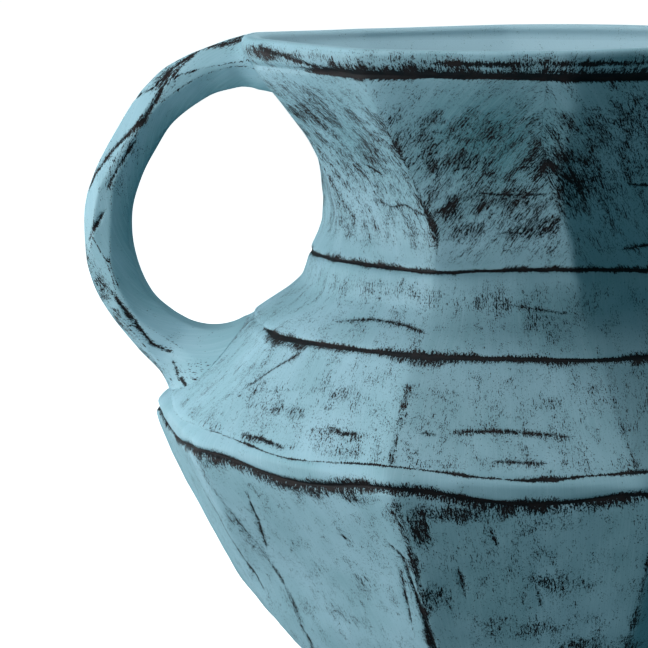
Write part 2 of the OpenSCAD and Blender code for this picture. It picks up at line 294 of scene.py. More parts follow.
# Broken dark bands along the lip, as (angle, height, half width in degrees, half height, amount)
LIP_BANDS = [
    (8, 304.8, 13, 1.5, 0.72), (-14, 305.2, 15, 1.4, 0.66), (54, 305.6, 10, 1.2, 0.55),
    (120, 305, 16, 1.4, 0.6), (165, 304.8, 18, 1.4, 0.66), (215, 305.4, 14, 1.3, 0.6),
    (262, 305, 18, 1.4, 0.6), (310, 304.6, 14, 1.4, 0.66)]
# Spots of dark teal, as (angle, height, half width in degrees, half height, amount): thin paint, and on the
# neck's front facet and the right of the collar and belly painted shade as well
THIN_AND_PAINTED_SHADE = [
    (8, 274, 19, 22, 1.15), (16, 252, 7, 12, 0.5), (48, 274, 14, 20, 0.5), (-4, 206, 12, 12, 0.5),
    (2, 118, 17, 34, 0.15), (44, 153, 22, 6, 0.22), (112, 266, 18, 30, 0.7), (188, 262, 20, 30, 0.8),
    (262, 268, 18, 28, 0.7), (150, 110, 20, 36, 0.5), (222, 120, 18, 30, 0.6), (300, 112, 18, 34, 0.5),
    (240, 178, 16, 12, 0.5), (140, 206, 14, 12, 0.5)]

# Scored or cracked lines, as ((angle, height) points, half width)
LINES = [
    (((45, 200.4), (36, 202.8), (28, 202.4), (21, 200.6)), 0.45),
    (((3, 211.2), (-4, 209.6), (-11, 208)), 0.3),
    (((10, 169.8), (2, 170.4), (-8, 169)), 0.65),
    (((15, 169.2), (13, 168.8)), 0.45),
    (((3.5, 161), (-4, 160.8)), 0.42),
    (((53.6, 175.5), (51.5, 182), (48, 188.5)), 0.4),
    (((47, 159.6), (43, 159.3), (38, 158.2)), 0.7),
    (((31, 167), (28.5, 165.8), (26, 166.6)), 0.75),
    (((12, 253.2), (4, 252.6), (-6, 253.4)), 0.6),
    (((47, 262.5), (40, 258.5)), 0.75),
    (((45, 248), (38, 245.5), (33, 247.2), (26, 243.6)), 0.4),
    (((18, 262), (14, 263.5)), 0.6),
    (((5, 238), (-1, 237.6)), 0.5),
    (((46.5, 136), (48, 123), (51, 110)), 0.6),
    (((65, 142), (64.4, 130), (60.4, 118), (61.6, 100), (61, 85)), 0.4),
    (((17.2, 122), (16, 104), (15.2, 92), (14.4, 80)), 0.9),
    (((18.2, 116), (18.4, 103), (18.4, 92)), 0.6),
    (((16.8, 122), (19, 127)), 0.6),
    (((4, 136), (3, 129)), 0.6),
    (((-3, 112), (-4, 103)), 0.6),
    (((9, 118), (8.4, 107)), 0.7),
    (((29, 126), (27.5, 124)), 0.8),
]
# The dark line under the lip climbs to the top of each handle
CLIMBING_LINE = [(35, 300.4), (44, 302.0), (53, 305.2), (62, 308.4)]
CLIMBING_HALF = 1.05
for handle_turn in (0, 180):
    for way_round in (-1, 1):
        climb = [(way_round * a + handle_turn, z) for a, z in CLIMBING_LINE]
        LINES.append((climb, CLIMBING_HALF))

# Marks scattered over the side turned away: the arc they lie in, and how many of each there are
HIDDEN_ARC = (82, 340)
SCUFFS_BEHIND = 130
LINES_BEHIND = 46
SEED = 11

# A line is this share of its width, thins to a point at both ends, and fades out beyond its reach
LINE_SHARE = 0.72
LINE_END_SHARE = 0.3
LINE_REACH = 2.5
# Values of the line attributes far from every line
FAR_FROM_LINE = 9.0
NO_LINE = -1.0


def hidden_marks():
    """Scuffs and lines like the ones in front, scattered over the rest of the body."""
    rng = np.random.default_rng(SEED)
    scuffs = [(rng.uniform(*HIDDEN_ARC), rng.uniform(30, 292), rng.uniform(5, 16), rng.uniform(4, 16),
               rng.uniform(0.2, 0.48)) for _ in range(SCUFFS_BEHIND)]
    lines = []
    for _ in range(LINES_BEHIND):
        angle, height = rng.uniform(*HIDDEN_ARC), rng.uniform(60, 285)
        length, rise = rng.uniform(4, 16), rng.uniform(-2, 2)
        steep = height < 145 or rng.uniform() < 0.15
        end = (angle + rise, height - length) if steep else (angle + length, height + rise)
        lines.append((((angle, height), end), rng.uniform(0.35, 0.75)))
    return scuffs, lines


MORE_SCUFFS, MORE_LINES = hidden_marks()


def seam_bareness(k, d, upwards, a):
    """How bare the paint is at distance d from seam k, on the side that lies upwards of it or below it."""
    core, below, above = SEAM_WEAR[k]
    own_place = np.full_like(a, 200.0 * k + 100.0 * upwards)
    spread = on_body(WAVE_RADIUS, np.radians(a), own_place).reshape(-1, 3)
    slow = waviness(spread, SLOW_WAVE, SEAM_SEED).reshape(a.shape)
    quick = waviness(spread, QUICK_WAVE, SEAM_SEED).reshape(a.shape)
    core = core + (0.15 + 0.35 * core) * (slow + 0.7 * quick)
    hair = (above if upwards else below) * np.clip(1 + 0.5 * slow + 0.5 * quick, 0.3, 2)
    solid = CORE_BARENESS * np.clip(1 - (d - core) / CORE_EDGE, 0, 1)
    ragged = HAIR_BARENESS * np.clip(1 - (d - core) / hair, 0, 1)
    fade = along(SEAM_FADE.get(k, [(0, 1)]), np.abs(turn_between(a, 0)))
    broken = np.clip(0.7 + 0.5 * quick + 0.4 * slow, 0.25, 1) if k in BROKEN_SEAMS else 1
    return np.maximum(solid, ragged) * fade * broken


def turn_between(a, b):
    """The smaller angle from b to a, in degrees."""
    return (a - b + 180) % 360 - 180


def scuffed(a, z):
    """How scuffed the paint is at angle a and height z, away from the seams and corners."""
    return np.maximum(along(BASE_SCUFF, z), spots(SCUFFS + MORE_SCUFFS + LIP_BANDS, a, z))


def spots(places, a, z):
    """The strongest of a list of soft-edged spots at angle a and height z."""
    amount = np.zeros_like(z)
    for angle, height, half_width, half_height, strength in places:
        here = bell(turn_between(a, angle), half_width) * bell(z - height, half_height)
        amount = np.maximum(amount, strength * here)
    return amount


def corner_bareness(b, z, r):
    """How bare the paint is on the corners between the facets."""
    wear = np.zeros_like(z)
    for j in range(FACETS):
        away = np.radians(turn_between(b, FACET_WIDTH * j + CORNER_SHIFT[j])) * r
        strength = np.where(z > SEAMS[COLLAR_TOP], UPPER_CORNERS[j], LOWER_CORNERS[j])
        wear = np.maximum(wear, strength * bell(away, CORNER_WEAR_WIDTH))
    return along(CORNER_WEAR, z) * wear


def nearest_line(a, z, r, lines):
    """Signed distance to the nearest of the lines and that line's half width, which is below 0 far away."""
    best = np.full(z.shape, 1e3)
    offset = np.full(z.shape, 1e3)
    half = np.full(z.shape, NO_LINE)
    for points, width in lines:
        heights = [p[1] for p in points]
        margin = 4
        if max(heights) < z.min() - margin or min(heights) > z.max() + margin:
            continue
        length = len(points) - 1
        for i in range(length):
            (a0, z0), (a1, z1) = points[i], points[i + 1]
            x, y = np.radians(turn_between(a, a0)) * r, z - z0
            dx, dy = np.radians(turn_between(a1, a0)) * r, z1 - z0
            t = np.clip((x * dx + y * dy) / (dx * dx + dy * dy), 0, 1)
            away = np.hypot(x - t * dx, y - t * dy)
            side = np.sign(x * dy - y * dx)
            taper = np.sqrt(np.sin(math.pi * np.clip((i + t) / length, 0, 1)).clip(0, 1))
            nearer = away < best
            best = np.where(nearer, away, best)
            offset = np.where(nearer, side * away, offset)
            drawn = LINE_SHARE * width * (LINE_END_SHARE + (1 - LINE_END_SHARE) * taper)
            half = np.where(nearer, drawn - np.clip(away - LINE_REACH, 0, 5), half)
    return offset.clip(-FAR_FROM_LINE, FAR_FROM_LINE), half.clip(NO_LINE, 2)


def beside_line(line, line_half, amount, reach):
    """How bare the paint is next to a line, up to reach away from it."""
    return amount * np.clip(1 - (np.abs(line) - line_half) / reach, 0, 1) * (line_half > 0.1)


# ---------------------------------------------------------------------------------------------------
# Meshes
# ---------------------------------------------------------------------------------------------------


# Edges that turn by more than this, in degrees, are drawn sharp
SHARP_ANGLE = 38


def new_mesh(name, points, faces, attributes, material):
    """A smooth mesh piece from points in millimetres, with its float and vector attributes."""
    mesh = bpy.data.meshes.new(name)
    mesh.from_pydata((points * MM).tolist(), [], faces)
    mesh.update()
    for key, values in attributes.items():
        kind = "FLOAT_VECTOR" if values.ndim == 2 else "FLOAT"
        layer = mesh.attributes.new(key, kind, "POINT")
        layer.data.foreach_set("vector" if values.ndim == 2 else "value", values.astype(np.float32).ravel())
    mesh.polygons.foreach_set("use_smooth", [True] * len(mesh.polygons))
    mesh.set_sharp_from_angle(angle=math.radians(SHARP_ANGLE))
    mesh.materials.append(material)
    piece = bpy.data.objects.new(name, mesh)
    bpy.context.scene.collection.objects.link(piece)
    return piece


def stand_in(piece, node):
    """The piece moves with the body, and is seen in place of the CAD node."""
    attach(piece, BODY)
    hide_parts(node)


def grid_faces(rows, columns, closed_rows=True):
    """Quads of a grid of rows of columns that closes round the columns, and round the rows too if asked."""
    i = np.arange(rows if closed_rows else rows - 1)[:, None]
    j = np.arange(columns)[None, :]
    i2, j2 = (i + 1) % rows, (j + 1) % columns
    quads = [i * columns + j, i2 * columns + j, i2 * columns + j2, i * columns + j2]
    return np.stack(quads, -1).reshape(-1, 4).tolist()


def closed_tube(rows, columns, inside_out=False):
    """Faces of a tube over a grid of rows of columns, with a flat face over each end."""
    last = (rows - 1) * columns
    faces = grid_faces(rows, columns, closed_rows=False)
    faces += [list(range(columns)), list(range(last, last + columns))[::-1]]
    return [face[::-1] for face in faces] if inside_out else faces


def column_angles(count):
    """Angles from the first corner, crowded at the corners."""
    t = np.arange(count) / count * FACETS
    j = t.astype(int)
    u = t - j
    crowding = 0.12
    u = u - crowding * np.sin(2 * math.pi * u)
    shift = np.array(CORNER_SHIFT)
    return FACET_WIDTH * (j + u) + shift[j] * (1 - u) + shift[(j + 1) % FACETS] * u


def crowded(length, fine, coarse, reach):
    """Shares from 0 to 1 along length, fine apart within reach of both ends and coarse apart between."""
    ends = np.arange(0, reach, fine)
    middle = np.linspace(reach, length - reach, max(2, round((length - 2 * reach) / coarse)) + 1)
    return np.concatenate([ends, middle, length - ends[::-1]]) / length


def on_body(r, a, z):
    """Points at angle a (radians) from the front towards -X."""
    return np.stack([-r * np.sin(a), -r * np.cos(a), z], -1)


# A scored line's groove: its depth and half width
LINE_DEPTH, LINE_WIDTH = 0.9, 0.9
# Wear beside a scored line: how bare the paint is, and how far out
LINE_WEAR = (0.36, 2.4)
# Unevenness of the cut surface: slow sags and small dents, as (depth, length, seed)
SAGS = [(0.32, 42, 1), (0.16, 14, 2)]
# Paint attributes of the faces inside the vase: no wear, and a paler coat that is painted light
HIDDEN_PAINT = {"bare": 0.0, "thin_and_painted_light": -1.0, "line": FAR_FROM_LINE, "line_half": NO_LINE}
# Distance between rows inside, reach of the fine rows beside a seam, and the length that halves it
INSIDE_STEP = 3.0
FINE_REACH = 6.0
SHORT_RING = 14
# Distance along the stroke between one piece's brush marks and the next one's
BRUSH_SPACING = 500
# How far the brush strokes lean on each facet of the neck, and of the rest: sideways for each unit up
NECK_SLANT = [-0.55, 0.5, -0.45, 0.4, -0.5, 0.55, -0.4, 0.5, -0.6, 0.75]
BODY_SLANT = [-0.22, 0.1, -0.15, 0.2, -0.1, 0.18, -0.2, 0.12, 0.2, -0.06]


def brush_coordinates(a, b, travel, mean_radius, slants, offset):
    """Seamless coordinates for brush marks: round the axis in x and y, and along the stroke in z."""
    facet = np.zeros(b.shape, int)
    for j in range(FACETS):
        facet = np.where(b >= FACET_WIDTH * j + CORNER_SHIFT[j], j, facet)
    lean = np.array(slants)[facet] * travel / mean_radius
    return np.stack([mean_radius * np.cos(a + lean), mean_radius * np.sin(a + lean), travel + offset], -1)


def travel_down(r, z):
    """Distance travelled down each column of a grid of radii and heights."""
    steps = np.hypot(np.diff(r, axis=0), np.diff(z, axis=0))
    return np.concatenate([np.zeros((1, r.shape[1])), np.cumsum(steps, 0)])


def ring_outside(b, z, low_k, high_k, low, high):
    """Radius of a ring's outer face over a grid of angles b and heights z, how its paint is worn, and its
    thin paint and painted shade.
    """
    r = outer_radius(b, z)
    degrees = turned(b, z)
    bare = seam_bareness(low_k, z - low, True, degrees)
    groove = GROOVE_DEPTH[low_k] * bell(z - low, GROOVE_WIDTH)
    if high_k is not None:
        bare = np.maximum(bare, seam_bareness(high_k, high - z, False, degrees))
        groove = groove + GROOVE_DEPTH[high_k] * bell(high - z, GROOVE_WIDTH)
    bare = np.maximum(bare, corner_bareness(b, z, r))
    bare = np.maximum(bare, scuffed(degrees, z))
    line, line_half = nearest_line(degrees, z, r, LINES + MORE_LINES)
    bare = np.maximum(bare, beside_line(line, line_half, *LINE_WEAR))
    groove = groove + LINE_DEPTH * line_half.clip(0, 1) * bell(line, LINE_WIDTH)
    smooth = on_body(r, np.radians(degrees), z).reshape(-1, 3)
    sag = sum(depth * (waviness(smooth, length, seed) - 1) for depth, length, seed in SAGS)
    clear_of_seams = np.clip(np.minimum(z - low, high - z) / 2, 0, 1)
    r = r - groove + sag.reshape(r.shape) * clear_of_seams
    return r, {"bare": bare, "thin_and_painted_light": spots(THIN_AND_PAINTED_SHADE, degrees, z), "line": line, "line_half": line_half}


def ring_inside(b, low_k, low, high, is_lip):
    """Radii and heights of a ring's hidden faces: over its top, down its inside and up into its rebate."""
    if is_lip:
        turn = np.radians(np.linspace(0, 90, 7))[:, None]
        r_in = inner_radius(b, high - LIP_ROUND)
        top = (r_in + LIP_ROUND * (1 - np.sin(turn)), high - LIP_ROUND * (1 - np.cos(turn)))
        inside_top = high - LIP_ROUND - 1
    else:
        top = lap_face(b, high, high, high + LAP)
        inside_top = high + LAP
    has_rebate = low_k != FOOT_TOP
    inside_low = low + (LAP if has_rebate else 0)
    steps = max(2, round(float(np.mean(inside_top - inside_low)) / INSIDE_STEP))
    z_in = inside_top + np.linspace(0, 1, steps + 1)[:, None] * (inside_low - inside_top)
    faces = [top, (inner_radius(b, z_in), z_in)]
    if has_rebate:
        faces.append(lap_face(b, low, low + LAP, low))
    return [np.concatenate(part) for part in zip(*faces)]


def ring_piece(name, low_k, high_k, columns, fine, coarse, mean_radius, material):
    """One ring of the wall between two seams: a closed solid with a spigot on top and a rebate below."""
    b = column_angles(columns)[None, :]
    low = seam_height(low_k, b)
    is_lip = high_k is None
    high = lip_height(b) if is_lip else seam_height(high_k, b)
    length = float(np.mean(high - low))
    fine_reach = FINE_REACH if length > SHORT_RING else FINE_REACH / 2
    z = low + crowded(length, fine, coarse, fine_reach)[:, None] * (high - low)
    r, paint = ring_outside(np.broadcast_to(b, z.shape), z, low_k, high_k, low, high)
    if is_lip:
        arc = np.clip((z - (high - LIP_ROUND)) / LIP_ROUND, 0, 1)
        r = r - LIP_ROUND * (1 - np.sqrt(1 - 0.999 * arc ** 2))
    hidden_r, hidden_z = ring_inside(b, low_k, low, high, is_lip)
    r = np.concatenate([r, hidden_r])
    z = np.concatenate([z, hidden_z])
    b = np.broadcast_to(b, r.shape)
    a = np.radians(turned(b, z))
    slants = NECK_SLANT if low_k == COLLAR_TOP else BODY_SLANT
    travel = travel_down(r, z) - length / 2
    brush = brush_coordinates(a, b, travel, mean_radius, slants, BRUSH_SPACING * low_k)
    attributes = {"brush": brush.reshape(-1, 3)}
    for key, values in paint.items():
        attributes[key] = np.concatenate([values, np.full(hidden_r.shape, HIDDEN_PAINT[key])]).ravel()
    points = on_body(r, a, z).reshape(-1, 3)
    stand_in(new_mesh(name, points, grid_faces(*r.shape), attributes, material), name)


def lap_face(b, seam, z0, z1):
    """The upright face of the half-lap at a seam, from z0 to z1."""
    r = (outer_radius(b, seam + LAP / 2) + inner_radius(b, seam + LAP / 2)) / 2
    return np.concatenate([r, r]), np.concatenate([z0, z1])


# ---------------------------------------------------------------------------------------------------
# The handles
# ---------------------------------------------------------------------------------------------------

# Middle line of the left handle's bar, as (distance from the axis, height), and its thickness along it
HANDLE_LINE = np.array([
    (104, 297), (115, 298.8), (124, 298.2), (138, 293.3), (155.5, 280.7), (166, 266), (173.5, 250.5),
    (177.8, 231), (175.4, 211.5), (168, 194.3), (157.5, 183), (145, 174), (133, 165), (122, 157)])
HANDLE_SWELL = np.array([1.02, 1.02, 1.02, 1, 1, 1, 1, 1, 1, 1.02, 1.1, 1.25, 1.35, 1.4])
# Points round the bar, distance between its rows, and how sharp the edges between its flats are
HANDLE_COLUMNS = 120
HANDLE_STEP = 0.75
HANDLE_SHARPNESS = 46
# How far under the body's surface the bar's hidden ends lie
HANDLE_BED = 3.0
# How quickly a flat cut across the curved bar runs out towards its ends
CUT_RUN_OUT = 1.65

# Flat sides of the bar, as (angle from the outside towards the back, distance from the middle line)
BAR_SIDES = [
    (0, 10.3), (180, 10.3), (92, 10.6), (-88, 10.9), (48, 11.0), (-46, 10.9), (126, 10.4), (-124, 9.8)]
# Knife cuts along the bar, as (place along it, angle, distance from the middle line there, length)
BAR_CUTS = [
    (30, 2, 9.3, 34), (74, 0, 8.0, 46), (118, 0, 9.8, 30), (152, 0, 9.3, 34),
    (20, -60, 9.8, 44), (50, -22, 9.6, 24), (72, -50, 8.9, 46), (108, -34, 9.2, 36), (112, -92, 9.8, 40),
    (134, -60, 9.4, 30), (160, -30, 9.4, 34), (172, -82, 10.2, 36), (196, -50, 11.2, 30),
    (24, 48, 9.6, 40), (62, 70, 9.2, 40), (96, 32, 9.4, 34), (130, 66, 9.4, 38), (164, 36, 9.8, 34),
    (190, 70, 11.0, 34), (58, 122, 9.8, 40), (112, 118, 9.8, 40), (166, 120, 10.4, 40)]
# Dark creases between the cuts, as ((angle, place) points, half width)
BAR_LINES = [
    (((-40, 4), (-36, 21), (-28, 28.5), (-41, 35), (-44, 43), (-53, 50), (-51, 53), (-14, 64),
      (-8, 76)), 0.75),
    (((-47, 42), (-56, 47), (-66, 49)), 1.3),
    (((-62, 45), (-86, 54), (-95, 63), (-80, 73), (-58, 83), (-44, 91), (-12, 101)), 0.85),
    (((-92, 60), (-99, 66)), 0.7),
    (((-102, 74), (-100, 83), (-88, 97)), 0.6),
    (((-88, 108), (-74, 113), (-48, 119)), 1.1),
    (((-74, 141), (-84, 148), (-87, 156), (-80, 165)), 1.0),
    (((-80, 163), (-76, 170), (-86, 177)), 0.6),
    (((-76, 180), (-68, 186), (-84, 198)), 0.45),
]
# The creases at the back mirror those in front, moved along the bar
BAR_LINES += [
    ([(-angle, 0.94 * place + 8) for angle, place in points], half) for points, half in BAR_LINES]
# Radii round the bar that the creases are drawn on, and that lumps and brush marks are laid over
BAR_GIRTH_RADIUS = 10.5
BRUSH_GIRTH = 10.0
# How dark the inside of the bar is painted, by place along it: thin paint, and painted shade where it faces
# the body
BAR_THIN_AND_PAINTED_SHADE = [(0, 1.0), (120, 1.0), (150, 0.6), (175, 0.2)]
# Scuffed places on the bar, as (place along it, angle, half length, amount), and their half width round it
BAR_SCUFFS = [
    (6, -30, 9, 0.5), (46, -40, 9, 0.5), (86, -100, 14, 0.3), (128, -14, 12, 0.44), (138, -44, 10, 0.44),
    (152, -40, 14, 0.36), (178, -20, 16, 0.34), (192, -70, 10, 0.34), (120, 60, 22, 0.36),
    (60, 40, 20, 0.3), (30, 100, 20, 0.3), (180, 60, 24, 0.4), (100, 170, 24, 0.1)]
BAR_SCUFF_TURN = 40
# A crease's groove on the bar, and the wear beside it: how bare the paint is, and how far out
CREASE_DEPTH = 0.8
CREASE_WEAR = (0.40, 2.0)
# Lumps left in the bar by hand, as depth and length, and the length of the patches worn off its edges
LUMP_DEPTH, LUMP_LENGTH = 0.22, 22
EDGE_WEAR_LENGTH = 26
LUMP_SEED, EDGE_WEAR_SEED = 5, 9
# Turn of the brush strokes round the bar, in radians for each mm, and a brush offset beyond the rings' own
BAR_SLANT = 0.035
AFTER_RINGS = 8
# Size of the smoothed-over fillet between the bar and the body, by place along the bar
BAR_FILLET = [(0, 7), (60, 7), (150, 17), (210, 17)]
# Length of the bar's ends that lies wholly in the wall
BAR_SUNK = 6.0


def on_curve(p, t):
    """Points of a smooth curve through p, at t spans from its start."""
    i = np.minimum(len(p) - 2, t.astype(int))
    u = (t - i).reshape((-1,) + (1,) * (p.ndim - 1))
    before, start, end, after = p[np.maximum(0, i - 1)], p[i], p[i + 1], p[np.minimum(len(p) - 1, i + 2)]
    return 0.5 * (2 * start + (end - before) * u + (2 * before - 5 * start + 4 * end - after) * u ** 2
                  + (3 * start - before - 3 * end + after) * u ** 3)


def handle_stations():
    """Places at even steps along the bar: middle points, directions, swell and distance from the start."""
    t = np.linspace(0, len(HANDLE_LINE) - 1, 2001)
    middle = on_curve(HANDLE_LINE, t)
    s = np.concatenate([[0], np.cumsum(np.hypot(*np.diff(middle, axis=0).T))])
    even = np.arange(0, s[-1], HANDLE_STEP)
    t = np.interp(even, s, t)
    middle = on_curve(HANDLE_LINE, t)
    way = np.gradient(middle, axis=0)
    way /= np.linalg.norm(way, axis=1)[:, None]
    return middle, way, on_curve(HANDLE_SWELL, t), even


def bar_radius(phi, s, swell):
    """Radius of the bar round its middle line, and how near a crease between two flats is, in mm."""
    reaches = []
    for angle, distance in BAR_SIDES:
        reaches.append(np.cos(np.radians(phi - angle)).clip(0) / (distance * swell))
    for place, angle, distance, length in BAR_CUTS:
        depth = distance + CUT_RUN_OUT * ((s - place) / (length / 2)) ** 2
        reaches.append(np.cos(np.radians(phi - angle)).clip(0) / (depth * np.maximum(1, 0.5 + swell / 2)))
    reaches = np.stack(np.broadcast_arrays(*reaches))
    radius = (reaches ** HANDLE_SHARPNESS).sum(0) ** (-1 / HANDLE_SHARPNESS)
    top_two = np.sort(reaches, axis=0)[-2:]
    return radius, (1 - top_two[0] / top_two[1]) * radius


def over_wall(x, across, z):
    """How far points stand out of the body's surface, level with them."""
    angle = np.degrees(np.arctan2(x, -across))
    return np.hypot(x, across) - outer_radius(angle - along(CORNER_LEAN, z), z)


def settled_bar(middle, way, s, phi, radius):
    """Points of the bar, with a fillet of slip where it meets the body, and its ends under the surface."""
    out = radius * np.cos(np.radians(phi))
    across = radius * np.sin(np.radians(phi))
    x = middle[:, :1] - way[:, 1:] * out
    z = middle[:, 1:] + way[:, :1] * out
    height = over_wall(x, across, z)
    near = np.clip(1 - height.clip(0) / slope_stretch(z) / along(BAR_FILLET, s), 0, 1)
    widest = along(BAR_FILLET, s) * (1 - 0.9 * np.cos(np.radians(phi)).clip(0))
    flare = 1 + widest * (1 - np.sqrt(1 - 0.97 * near ** 2)) / radius
    x = middle[:, :1] - way[:, 1:] * out * flare
    z = middle[:, 1:] + way[:, :1] * out * flare
    across = across * flare

    # The flared point keeps the height over the wall that it had, and goes under it at the bar's ends
    reach = np.hypot(x, across)
    flared_height = over_wall(x, across, z)
    sunk = np.clip(1 - np.minimum(s, s[-1] - s) / BAR_SUNK, 0, 1)
    wanted = flared_height + near * (height - flared_height)
    wanted = np.maximum(wanted - sunk * (wanted + HANDLE_BED).clip(0), -HANDLE_BED)
    moved = reach + wanted - flared_height
    return x * moved / reach, across * moved / reach, z


def bar_bareness(phi, s, gap, patches, line, line_half):
    """How bare the paint is over the bar: along its edges, where it is scuffed, and beside its creases."""
    patchy = np.clip(0.75 + 0.5 * patches, 0, 1)
    front_or_out = np.clip(0.35 + 0.9 * np.cos(np.radians(phi + 45)), 0.2, 1)
    bare = 0.5 * bell(gap, 0.25) * patchy * front_or_out
    for place, angle, half_length, amount in BAR_SCUFFS:
        here = bell(s - place, half_length) * bell(turn_between(phi, angle), BAR_SCUFF_TURN)
        bare = np.maximum(bare, amount * here)
    return np.maximum(bare, beside_line(line, line_half, *CREASE_WEAR))


def handle_piece(name, side, material):
    """The hewn bar of one handle. side is -1 for the left one and 1 for the right one."""
    middle, way, swell, s = handle_stations()
    rows = len(s)
    turns = np.arange(HANDLE_COLUMNS) / HANDLE_COLUMNS * 360
    phi, s = np.broadcast_arrays(turns[None, :], s[:, None])
    radius, gap = bar_radius(phi, s, swell[:, None])
    around = np.stack([BRUSH_GIRTH * np.cos(np.radians(phi)), BRUSH_GIRTH * np.sin(np.radians(phi)), s], -1)
    around = around.reshape(-1, 3)
    lumps = LUMP_DEPTH * (waviness(around, LUMP_LENGTH, LUMP_SEED + side) - 1).reshape(gap.shape)
    line, line_half = nearest_line(phi, s, BAR_GIRTH_RADIUS, BAR_LINES)
    radius = radius + lumps - CREASE_DEPTH * line_half.clip(0, 1) * bell(line, LINE_WIDTH)
    x, across, z = settled_bar(middle, way, s, phi, radius)
    points = np.stack([side * x, across, z], -1).reshape(-1, 3)

    patches = waviness(around, EDGE_WEAR_LENGTH, EDGE_WEAR_SEED).reshape(gap.shape)
    bare = bar_bareness(phi, s, gap, patches, line, line_half)
    # The side of the bar turned to the body is painted darker: painted shade as well as thin paint
    thin_and_painted_light = along(BAR_THIN_AND_PAINTED_SHADE, s) * np.clip(0.12 - np.cos(np.radians(phi + 30)), 0.12, 1)
    stroke_turn = np.radians(phi) + BAR_SLANT * s
    own_place = s + BRUSH_SPACING * (AFTER_RINGS + side)
    brush = np.stack([BRUSH_GIRTH * np.cos(stroke_turn), BRUSH_GIRTH * np.sin(stroke_turn), own_place], -1)
    attributes = {"brush": brush.reshape(-1, 3), "bare": bare.ravel(), "line": line.ravel(),
                  "line_half": line_half.ravel(), "thin_and_painted_light": thin_and_painted_light.ravel()}
    faces = closed_tube(rows, HANDLE_COLUMNS, inside_out=side < 0)
    stand_in(new_mesh(name, points, faces, attributes, material), name)


# ---------------------------------------------------------------------------------------------------
# The foot and the disc in it
# ---------------------------------------------------------------------------------------------------

# Thickness of the disc, radii of the recess under it and of the disc itself, and the bevels of foot and disc
FLOOR = 8.0
RECESS_RADIUS, DISC_RADIUS = 54.0, 60.0
FOOT_BEVEL = 1.5
DISC_BEVEL = 0.8
# How bare the foot is rubbed at its bottom edge and how far up, and how bare it is inside
FOOT_RUB, FOOT_RUB_HEIGHT = 0.75, 4.0
FOOT_INSIDE_WEAR = 0.3
# Depth of the hand's swirl in the disc
SWIRL_DEPTH = 0.22


def foot_ring(material):
    """The faceted ring that the vase stands on, with a ledge inside for the disc."""
    columns = 480
    b = column_angles(columns)[None, :]
    top = SEAMS[FOOT_TOP]
    ledge = top - FLOOR
    heights = np.concatenate([[0, 0.3, 0.8], np.linspace(FOOT_BEVEL, top, 20)])
    z_out = np.broadcast_to(heights[:, None], (len(heights), columns))
    r_out = outer_radius(b, z_out) - FOOT_BEVEL * np.clip(1 - z_out / FOOT_BEVEL, 0, 1) ** 2
    seam_wear = seam_bareness(FOOT_TOP, top - z_out, False, np.broadcast_to(b, z_out.shape))
    rubbed_below = FOOT_RUB * np.clip(1 - z_out / FOOT_RUB_HEIGHT, 0, 1)
    inside = np.array([
        (DISC_RADIUS, top), (DISC_RADIUS, ledge), (RECESS_RADIUS, ledge), (RECESS_RADIUS, FOOT_BEVEL),
        (RECESS_RADIUS + FOOT_BEVEL, 0)])
    whole_turn = np.ones((1, columns))
    r = np.concatenate([r_out, inside[:, :1] * whole_turn])
    z = np.concatenate([z_out, inside[:, 1:] * whole_turn])
    inside_wear = FOOT_INSIDE_WEAR * np.ones((len(inside), columns))
    bare = np.concatenate([np.maximum(seam_wear, rubbed_below), inside_wear])
    b = np.broadcast_to(b, z.shape)
    a = np.radians(turned(b, z))
    brush = brush_coordinates(a, b, travel_down(r, z), 68, BODY_SLANT, 0)
    attributes = {"brush": brush.reshape(-1, 3), "bare": bare.ravel(),
                  "line": np.full(bare.size, FAR_FROM_LINE), "line_half": np.full(bare.size, NO_LINE)}
    points = on_body(r, a, z).reshape(-1, 3)
    piece = new_mesh("foot_ring", points, grid_faces(*r.shape), attributes, material)
    stand_in(piece, "foot_ring")


def base_disc(material):
    """The clay disc that closes the bottom, with the swirl left by the hand that pressed it."""
    columns, rings = 192, 60
    turn = (np.arange(columns) / columns * 2 * math.pi)[None, :]
    radii = np.linspace(1.0, DISC_RADIUS - DISC_BEVEL, rings)[:, None]
    low, high = SEAMS[FOOT_TOP] - FLOOR, SEAMS[FOOT_TOP]
    swirl = SWIRL_DEPTH * (np.sin(radii * 1.1 + 2 * turn) - 1) * np.clip((DISC_RADIUS - radii) / 6, 0, 1)
    edge_z = np.array([low + DISC_BEVEL, high - DISC_BEVEL])[:, None]
    r = np.concatenate([radii, np.full((2, 1), DISC_RADIUS), radii[::-1]])
    z = np.concatenate([low - swirl, np.broadcast_to(edge_z, (2, columns)), high + swirl[::-1]])
    r, turn = np.broadcast_arrays(r, turn)
    points = on_body(r, turn, z).reshape(-1, 3)
    piece = new_mesh("base_disc", points, closed_tube(*r.shape), {"brush": points}, material)
    stand_in(piece, "base_disc")


# ---------------------------------------------------------------------------------------------------
# Materials
# ---------------------------------------------------------------------------------------------------


